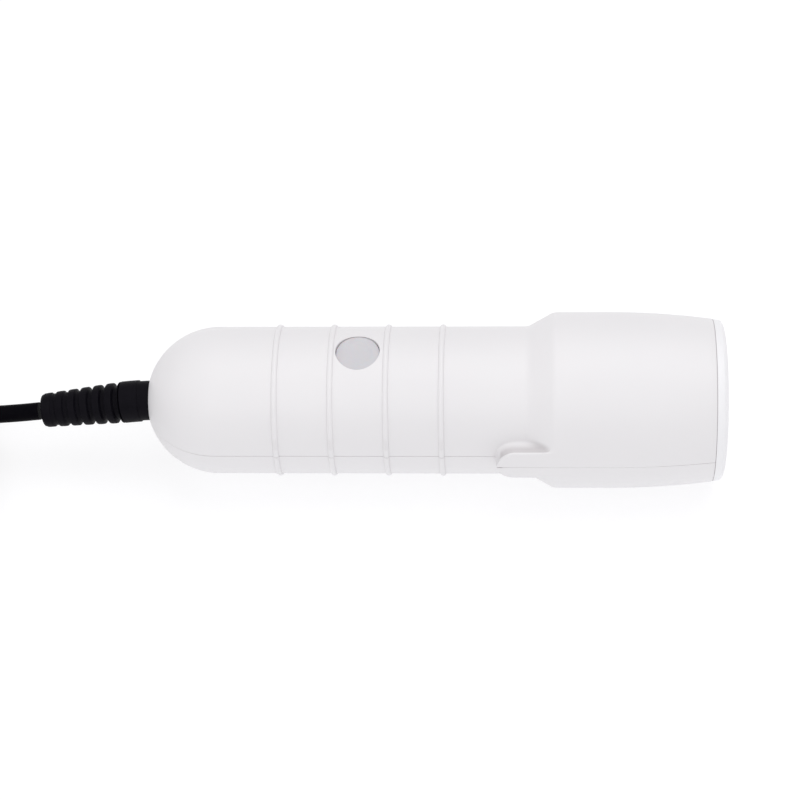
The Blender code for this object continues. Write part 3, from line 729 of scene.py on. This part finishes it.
class Recipe(Nodes):
    """A Geometry Nodes tree with named sizes, that makes a piece from a path or from places."""

    def __init__(self, name, *sizes):
        super().__init__(bpy.data.node_groups.new(name, "GeometryNodeTree"))
        sockets = self.tree.interface
        sockets.new_socket("Geometry", in_out="INPUT", socket_type="NodeSocketGeometry")
        sockets.new_socket("Geometry", in_out="OUTPUT", socket_type="NodeSocketGeometry")
        self.keys = {size: sockets.new_socket(size, in_out="INPUT",
                                              socket_type="NodeSocketFloat").identifier
                     for size in sizes}
        start = self.tree.nodes.new("NodeGroupInput")
        self.given = Value(self, start.outputs["Geometry"])
        self.sizes = [Value(self, start.outputs[size]) for size in sizes]

    def end(self, geometry, material):
        real = self.add("GeometryNodeRealizeInstances", {}, {"Geometry": geometry})
        painted = self.add("GeometryNodeSetMaterial", {}, {"Geometry": real, "Material": material})
        self.connect(self.tree.nodes.new("NodeGroupOutput").inputs["Geometry"], painted)

    def make(self, points, edges, **sizes):
        """Run the tree on points and edges, and return its result as a plain mesh."""
        start = bpy.data.meshes.new("start")
        start.from_pydata(points, edges, [])
        body = bpy.data.objects.new("body", start)
        bpy.context.scene.collection.objects.link(body)
        step = body.modifiers.new("recipe", "NODES")
        step.node_group = self.tree
        for size, value in sizes.items():
            step[self.keys[size]] = value
        mesh = bpy.data.meshes.new_from_object(
            body.evaluated_get(bpy.context.evaluated_depsgraph_get()))
        bpy.data.objects.remove(body)
        return mesh


def black_tpe():
    """Soft black moulding: a dull skin with a fine grain and slightly shinier high spots."""
    paint = Paint("black_tpe", (0.004, 0.0035, 0.0055), 0.5, Specular_IOR_Level=0.05)
    cloud = paint.noise(350.0, 3.0)
    paint.feed("Base Color", paint.tint(cloud, (0.003, 0.0026, 0.0045), (0.0065, 0.0058, 0.0085)))
    paint.feed("Roughness", 0.42 + 0.2 * cloud)
    paint.emboss(paint.noise(3000.0, 2.0), 0.02 * MM)
    return paint.material


rubber = black_tpe()
ribbed = Recipe("ribbed_sleeve", "collar", "groove", "ridge", "lowering", "first", "pitch")
collar, groove, ridge, lowering, first, pitch = ribbed.sizes
path = ribbed.add("GeometryNodeMeshToCurve", {}, {"Mesh": ribbed.given})
along = ribbed.add("GeometryNodeSplineParameter", {}, {}, "Length") + RELIEF_START
phase = ribbed.add("ShaderNodeMath", {"operation": "FRACT"}, {0: (along - first) / pitch + 0.5})
off_ridge = ribbed.add("ShaderNodeMath", {"operation": "ABSOLUTE"}, {0: phase - 0.5})
crest = (1 - ribbed.ramped(off_ridge, 0.25, 0.37)) * (1 - 0.9 * off_ridge * off_ridge)
on_ridges = ribbed.ramped(along, 6.2 * MM, 6.5 * MM)
height = (ridge - groove - lowering * (along - first)) * crest * on_ridges
radius = 8 * MM - (8.3 * MM - collar) * ribbed.ramped(along, -4.5 * MM, -4.4 * MM)
radius = radius + 0.3 * MM * ribbed.ramped(along, 1.1 * MM, 1.35 * MM)
radius = radius - (collar - groove) * ribbed.ramped(along, 6.0 * MM, 6.25 * MM) + height
circle = ribbed.add("GeometryNodeCurvePrimitiveCircle", {}, {"Resolution": 64, "Radius": 1.0})
sleeve = ribbed.add("GeometryNodeCurveToMesh", {}, {"Curve": path, "Profile Curve": circle,
                                                    "Scale": radius, "Fill Caps": True})
ribbed.end(sleeve, rubber)
steps = evenly(RELIEF_START, RELIEF_END, 0.12 * MM) + [RELIEF_END]
relief_line = [on_axis(-step, 0.0, -relief_drop(step)) for step in steps]
relief_mesh = ribbed.make(relief_line, [(i, i + 1) for i in range(len(steps) - 1)],
                          collar=5.85 * MM, groove=4.5 * MM, ridge=5.7 * MM, lowering=0.0475,
                          first=9.4 * MM, pitch=3.65 * MM)
check_volume(relief_mesh)
put("strain_relief_fine", relief_mesh, rubber, "housing", "black_rubber", "strain_relief")

# ---- tie ---------------------------------------------------------------------------------------
# A black woven strap round all the turns of the coil, closed on itself with its end on top.
TIE_WIDTH = 6 * MM
tie_low = Vector((16.9 * MM, 0.04 * MM + TIE_THICKNESS))
tie_high = Vector((37.3 * MM, 10.9 * MM))


def on_tie(across, out, up):
    turn = math.radians(TIE_ANGLE)
    return Vector((COIL_CENTRE.x + out * math.cos(turn) - across * math.sin(turn),
                   COIL_CENTRE.y + out * math.sin(turn) + across * math.cos(turn), up))


def swept(rings, place, loop=False):
    """Skin rings of points, each (along, y, z) for place(); open ends are closed with a face."""
    shape = bmesh.new()
    made = [[shape.verts.new(place(*point)) for point in ring] for ring in rings]
    pairs = list(zip(made, made[1:])) + ([(made[-1], made[0])] if loop else [])
    for near, far in pairs:
        for i in range(len(near)):
            j = (i + 1) % len(near)
            shape.faces.new((near[i], near[j], far[j], far[i]))
    if not loop:
        shape.faces.new(made[0])
        shape.faces.new(made[-1])
    bmesh.ops.recalc_face_normals(shape, faces=shape.faces)
    mesh = bpy.data.meshes.new("swept")
    shape.to_mesh(mesh)
    shape.free()
    check_volume(mesh)
    return mesh


def strap_section(out, up, normal, thickness):
    """A flat strap's cross section with softened edges, standing on a point of its path."""
    half, soft = TIE_WIDTH / 2, 0.15 * MM
    section = [(-half + soft, 0), (half - soft, 0), (half, soft), (half, thickness - soft),
               (half - soft, thickness), (-half + soft, thickness), (-half, thickness - soft),
               (-half, soft)]
    return [(across, out + normal[0] * lift, up + normal[1] * lift) for across, lift in section]


def strap_rings():
    bend = 2.4 * MM
    rings = []
    for k, (out, up) in enumerate(((tie_high.x - bend, tie_high.y - bend),
                                   (tie_low.x + bend, tie_high.y - bend),
                                   (tie_low.x + bend, tie_low.y + bend),
                                   (tie_high.x - bend, tie_low.y + bend))):
        for i in range(9):
            turn = math.radians(90 * k + 90 * i / 8)
            normal = (math.cos(turn), math.sin(turn))
            rings.append(strap_section(out + bend * normal[0], up + bend * normal[1], normal,
                                       TIE_THICKNESS))
    return rings


def woven_nylon():
    """Plain-woven black nylon: threads cross at 0.4 mm, and the crowns catch the light."""
    paint = Paint("woven_nylon", (0.012, 0.012, 0.014), 0.75, Specular_IOR_Level=0.3)
    turned = paint.add("ShaderNodeMapping", {}, {
        "Vector": paint.places, "Rotation": (0, 0, math.radians(-TIE_ANGLE))})
    weave = {"wave_type": "BANDS", "wave_profile": "SIN"}
    over = paint.add("ShaderNodeTexWave", {**weave, "bands_direction": "X"},
                     {"Vector": turned, "Scale": 400.0, "Distortion": 0.0}, "Fac")
    under = paint.add("ShaderNodeTexWave", {**weave, "bands_direction": "Y"},
                      {"Vector": turned, "Scale": 400.0, "Distortion": 0.0}, "Fac")
    threads = over * under
    paint.feed("Base Color", paint.tint(threads, (0.006, 0.006, 0.007), (0.03, 0.03, 0.034)))
    paint.emboss(threads, 0.08 * MM)
    return paint.material


strap = swept(strap_rings(), on_tie, loop=True)
end_rings = [strap_section(out, tie_high.y + TIE_THICKNESS, (0, 1), 0.5 * MM)
             for out in (21 * MM, 34 * MM)]
nylon = woven_nylon()
put("tie_strap_fine", strap, nylon, "housing", "tie_strap", "cord_tie")
put("tie_strap_end", swept(end_rings, on_tie), nylon, "housing", "tie_strap")

# ---- plug --------------------------------------------------------------------------------------
# A USB-A plug that lies on the coil: a black moulded grip with its own ridged sleeve, a folded
# nickel-plated shell with two latch windows a side, and a white insert with four contacts.
PLUG_PLACE = Vector((-162.9 * MM, 6.9 * MM, PLUG_Z))
PLUG_TURN = Matrix.Rotation(math.radians(-15), 3, "Z")
GRIP_START = 8 * MM
GRIP_END = 28 * MM
SHELL_REAR = 28.3 * MM
MOUTH = 40.1 * MM


def on_plug(along, y, z):
    """The plug runs along its own -X from where the lead enters, and is turned on the coil."""
    return PLUG_PLACE + PLUG_TURN @ Vector((-along, y, z))


def squared_ring(along, half_width, half_height, squareness, points=64):
    """A superellipse: squareness 1 is round, and a large one is nearly a rectangle."""
    ring = []
    for i in range(points):
        turn = 2 * math.pi * i / points
        c, s = math.cos(turn), math.sin(turn)
        ring.append((along, half_width * math.copysign(abs(c) ** (1 / squareness), c),
                     half_height * math.copysign(abs(s) ** (1 / squareness), s)))
    return ring


def grip_rings():
    rings = [squared_ring(0.0, 2.7 * MM, 2.7 * MM, 1)]
    for i in range(4):
        start = (0.3 + 1.9 * i) * MM
        for along, radius in ((0.0, 3.25), (0.9, 3.35), (1.05, 2.95), (1.75, 2.95)):
            rings.append(squared_ring(start + along * MM, radius * MM, radius * MM, 1))
    for i in range(13):
        t = i / 12
        swell = eased(t, 0, 1)
        rings.append(squared_ring(GRIP_START + 4 * MM * t, (3.1 + 4.4 * math.sqrt(swell)) * MM,
                                  (3.1 + 0.7 * swell) * MM, 1 + 3 * swell))
    for i in range(24):
        t = (i + 1) / 24
        ridge = 0.22 * MM * (1 if 3 <= i <= 14 and i % 3 == 1 else 0)
        rings.append(squared_ring(GRIP_START + 4 * MM + 15.6 * MM * t, 7.5 * MM - ridge,
                                  3.8 * MM - ridge, 4))
    rings.append(squared_ring(GRIP_END, 7.1 * MM, 3.4 * MM, 4))
    return rings


def shell_tube():
    """The plug's folded metal shell with its latch windows."""
    outer, inner = (6.0 * MM, 2.25 * MM), (5.65 * MM, 1.9 * MM)
    rings = [squared_ring(SHELL_REAR, *outer, 9), squared_ring(MOUTH - 0.2 * MM, *outer, 9),
             squared_ring(MOUTH, 5.85 * MM, 2.1 * MM, 9), squared_ring(MOUTH, *inner, 9),
             squared_ring(SHELL_REAR, *inner, 9)]
    windows = bmesh.new()
    for y in (-3 * MM, 3 * MM):
        made = bmesh.ops.create_cube(windows, size=1.0)
        for vert in made["verts"]:
            x, side, up = vert.co
            vert.co = on_plug(35 * MM + x * 2.2 * MM, y + side * 2.3 * MM, up * 10 * MM)
    cutter = bpy.data.meshes.new("windows")
    windows.to_mesh(cutter)
    windows.free()
    return combined(swept(rings, on_plug, loop=True), ("DIFFERENCE", cutter))


def plated_metal(name, colour, roughness):
    """Bright plating with faint lengthwise rolling marks and dull handling patches."""
    paint = Paint(name, colour, roughness, Metallic=1.0)
    marks = paint.noise(300.0, 3.0, (1, 6, 6))
    paint.feed("Roughness", roughness - 0.08 + 0.2 * marks)
    darker = tuple(channel * 0.85 for channel in colour)
    paint.feed("Base Color", paint.tint(paint.noise(180.0), darker, colour))
    paint.emboss(marks, 0.004 * MM)
    return paint.material


nickel = plated_metal("nickel_plate", (0.72, 0.71, 0.69), 0.28)
grip = put("plug_grip", swept(grip_rings(), on_plug), rubber, "housing", "black_rubber",
           "plug_body")
shell = put("plug_shell_fine", shell_tube(), nickel, "housing", "nickel_shell", "plug_shell",
            sharp=30)
relief_tip = on_axis(-RELIEF_END, 0.0, -relief_drop(RELIEF_END))

# ---- screws ------------------------------------------------------------------------------------
# Zinc-plated pan-head screws with cross recesses: three close the case from below, four hold the
# board and two the cable clamp.
BOARD_TOP = 8 * MM
BOARD_UNDERSIDE = BOARD_TOP - 1.9 * MM
CLAMP_STATION = 16 * MM
pan_head = Recipe("pan_head", "head_radius", "head_height", "shank_radius", "shank_length", "tilt")
head_radius, head_height, shank_radius, shank_length, tilt = pan_head.sizes


def raised(mesh, height):
    lift = pan_head.add("ShaderNodeCombineXYZ", {}, {"Z": height})
    return pan_head.add("GeometryNodeTransform", {}, {"Geometry": mesh, "Translation": lift})


rim_disc = pan_head.add("GeometryNodeMeshCylinder", {}, {
    "Vertices": 40, "Radius": head_radius, "Depth": head_height * 0.62}, "Mesh")
crown = pan_head.add("GeometryNodeMeshCone", {}, {
    "Vertices": 40, "Radius Top": head_radius * 0.66, "Radius Bottom": head_radius,
    "Depth": head_height * 0.4}, "Mesh")
shank = pan_head.add("GeometryNodeMeshCylinder", {}, {
    "Vertices": 24, "Radius": shank_radius, "Depth": shank_length}, "Mesh")
slot_sizes = [pan_head.add("ShaderNodeCombineXYZ", {}, {
    "X": head_radius * wide, "Y": head_radius * deep, "Z": head_height})
    for wide, deep in ((1.05, 0.22), (0.22, 1.05))]
slots = [pan_head.add("GeometryNodeMeshCube", {}, {"Size": size}, "Mesh") for size in slot_sizes]
whole = raised(rim_disc, head_height * 0.31)
for part in (raised(crown, head_height * 0.615), raised(shank, shank_length * -0.49)):
    whole = pan_head.add("GeometryNodeMeshBoolean", {"operation": "UNION"}, {"Mesh 2": whole})
    pan_head.tree.links.new(part.socket, whole.socket.node.inputs["Mesh 2"])
for slot_cutter in slots:
    whole = pan_head.add("GeometryNodeMeshBoolean", {"operation": "DIFFERENCE"}, {
        "Mesh 1": whole, "Mesh 2": raised(slot_cutter, head_height * 1.05)})
turn = pan_head.add("ShaderNodeCombineXYZ", {}, {"X": tilt})
placed = pan_head.add("GeometryNodeInstanceOnPoints", {}, {
    "Points": pan_head.given, "Instance": whole, "Rotation": turn})
steel = plated_metal("zinc_plate", (0.60, 0.60, 0.62), 0.32)
pan_head.end(placed, steel)

screw_sets = {
    "case_screws": ([on_axis(station, 0, SCREW_SEAT - 0.3 * MM) for station in case_screw_stations],
                    2.3, 1.8, 1.25, 21.0, math.pi, "case_screw"),
    "board_screws": ([on_axis(station * MM, side * MM, BOARD_UNDERSIDE)
                      for station in (30, 108) for side in (-8.5, 8.5)],
                     2.0, 1.3, 1.1, 6.5, math.pi, "board_screw"),
    "clamp_screws": ([on_axis(CLAMP_STATION, side * MM, 4.7 * MM) for side in (-6, 6)],
                     1.9, 1.3, 0.95, 12.0, 0.0, "clamp_screw"),
}
for name, (places, head, high, thin, long, over, node) in screw_sets.items():
    screws = pan_head.make(places, [], head_radius=head * MM, head_height=high * MM,
                           shank_radius=thin * MM, shank_length=long * MM, tilt=over)
    nodes = [f"{node}_{number}" for number in range(1, len(places) + 1)]
    put(name, screws, steel, "housing", "screw_steel", *nodes, sharp=30)

# ---- inside ------------------------------------------------------------------------------------
# What the case holds: the antenna on its bobbin, the board with its parts, the switch, and the
# cable's end in its clamp.  Each keeps its own solid and gets its own finish.


def finished(material, *nodes):
    for node in nodes:
        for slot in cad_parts[node].material_slots:
            slot.material = material


def plain_moulding(name, dark, light, roughness, grain=1500.0):
    paint = Paint(name, light, roughness)
    cloud = paint.noise(grain, 3.0)
    paint.feed("Base Color", paint.tint(cloud, dark, light))
    paint.feed("Roughness", roughness - 0.06 + 0.14 * cloud)
    paint.emboss(cloud, 0.01 * MM)
    return paint.material


def solder_mask():
    """Green solder mask over copper tracks, which show as slightly raised, lighter lines."""
    paint = Paint("solder_mask", (0.02, 0.16, 0.07), 0.35, Coat_Weight=0.3)
    cells = paint.add("ShaderNodeTexVoronoi", {"distance": "MANHATTAN", "feature": "F1"},
                      {"Vector": paint.places, "Scale": 420.0}, "Distance")
    tracks = paint.ramped(cells, 0.42, 0.5)
    paint.feed("Base Color", paint.tint(tracks, (0.012, 0.13, 0.05), (0.03, 0.22, 0.10)))
    paint.emboss(tracks, 0.03 * MM)
    return paint.material


def wound_copper():
    """Enamelled wire wound side by side, 0.3 mm a turn."""
    paint = Paint("wound_copper", (0.62, 0.25, 0.12), 0.3, Metallic=1.0)
    turns = paint.add("ShaderNodeTexWave", {"wave_type": "BANDS", "bands_direction": "X"},
                      {"Vector": paint.places, "Scale": 1040.0, "Distortion": 0.0}, "Fac")
    paint.feed("Base Color", paint.tint(turns, (0.30, 0.10, 0.05), (0.70, 0.30, 0.15)))
    paint.emboss(turns, 0.1 * MM)
    return paint.material


def lit_lens(name, colour):
    """The clear coloured body of a status LED, which lets some light through."""
    paint = Paint(name, colour, 0.2, Transmission_Weight=0.3)
    cloud = paint.noise(900.0)
    paint.feed("Base Color", paint.tint(cloud, tuple(0.7 * channel for channel in colour), colour))
    paint.feed("Roughness", 0.15 + 0.15 * cloud)
    return paint.material


finished(plain_moulding("seal_rubber", (0.02, 0.02, 0.02), (0.035, 0.035, 0.035), 0.6), "cap_seal")
finished(plain_moulding("white_nylon", (0.76, 0.74, 0.68), (0.84, 0.82, 0.76), 0.5),
         "antenna_bobbin", "antenna_terminal", "switch_plunger", "cable_connector", "plug_insert",
         "cable_clamp")
finished(wound_copper(), "antenna_winding")
finished(plated_metal("copper_wire", (0.70, 0.30, 0.15), 0.3), "antenna_lead_left",
         "antenna_lead_right")
finished(solder_mask(), "main_board")
finished(plain_moulding("chip_epoxy", (0.014, 0.014, 0.016), (0.026, 0.026, 0.028), 0.5, 4000.0),
         "microcontroller", "reader_chip", "voltage_regulator", "switch_body", "buzzer")
finished(plated_metal("tinned_can", (0.74, 0.74, 0.74), 0.25), "clock_crystal",
         "storage_capacitor")
finished(plated_metal("gold_flash", (0.85, 0.62, 0.25), 0.25),
         *[f"plug_contact_{number}" for number in range(1, 5)])
finished(lit_lens("green_lens", (0.25, 0.75, 0.30)), "green_led")
finished(lit_lens("red_lens", (0.80, 0.12, 0.10)), "red_led")
finished(black_pvc, "cable_jacket")
wire_colours = {"red": (0.60, 0.03, 0.03), "white": (0.80, 0.80, 0.78),
                "green": (0.03, 0.30, 0.08), "black": (0.02, 0.02, 0.02)}
for colour, light in wire_colours.items():
    dark = tuple(0.75 * channel for channel in light)
    finished(plain_moulding(f"{colour}_insulation", dark, light, 0.4), f"wire_{colour}")
